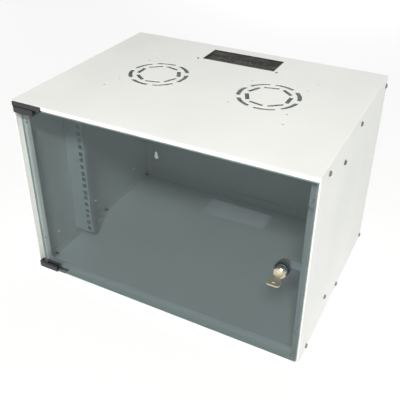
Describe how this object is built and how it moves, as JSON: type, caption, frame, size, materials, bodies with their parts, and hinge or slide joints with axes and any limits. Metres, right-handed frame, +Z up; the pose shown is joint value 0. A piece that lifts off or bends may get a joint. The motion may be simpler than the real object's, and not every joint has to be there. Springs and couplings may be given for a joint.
{
  "type": "wall mount network cabinet",
  "caption": "White steel wall cabinet for 19-inch network gear, with a hinged smoked glass door, key lock, punched fan grilles and a brush cable entry",
  "frame": {"origin": "Centre of the base's underside, which the cabinet stands on.", "axes": "+Z up, +X towards the cabinet's right-hand side seen from the front, -Y out of the glass door."},
  "size_m": [0.5452, 0.444, 0.3692],
  "materials": {
    "white_paint": "satin",
    "black_paint": "satin",
    "rail_steel": "satin",
    "screw_steel": "satin",
    "smoked_glass": "gloss",
    "bristle": "matte",
    "chrome": "gloss",
    "brass": "satin",
    "rubber_white": "matte",
    "rubber_black": "matte"
  },
  "bodies": {
    "cabinet": {"top_panel": "white_paint", "bottom_panel": "white_paint", "left_side_panel": "white_paint", "right_side_panel": "white_paint", "rear_panel": "white_paint", "left_rack_rail": "rail_steel", "right_rack_rail": "rail_steel", "rail_screws": "screw_steel", "rail_nuts": "screw_steel", "left_panel_screws": "screw_steel", "right_panel_screws": "screw_steel", "rear_panel_rivets": "screw_steel", "brush_holder": "black_paint", "brush_bristles": "bristle", "brush_holder_rivets": "screw_steel", "upper_hinge_bracket": "black_paint", "lower_hinge_bracket": "black_paint", "bracket_rivets": "screw_steel", "upper_hinge_pin": "screw_steel", "lower_hinge_pin": "screw_steel", "door_bumpers": "rubber_white"},
    "door": {"door_glass": "smoked_glass", "upper_hinge_clip": "black_paint", "lower_hinge_clip": "black_paint", "clip_pads": "rubber_black", "clip_grip_screws": "screw_steel", "lock_housing": "chrome", "lock_gaskets": "rubber_black", "lock_nut": "screw_steel"},
    "lock": {"lock_cylinder": "chrome", "lock_cam": "screw_steel", "cam_screw": "screw_steel"},
    "key": {"key": "chrome"}
  },
  "joints": [
    {"name": "door_hinge", "type": "hinge", "parent": "cabinet", "child": "door", "pos_m": [-0.259, -0.201, 0.1865], "axis": [0, 0, -1], "range_deg": [0, 120]},
    {"name": "lock_turn", "type": "hinge", "parent": "door", "child": "lock", "pos_m": [0.2276, -0.204, 0.192], "axis": [0, 1, 0], "range_deg": [0, 90]},
    {"name": "key_pull", "type": "slide", "parent": "lock", "child": "key", "axis": [0, -1, 0], "range_m": [0, 0.024]}
  ]
}
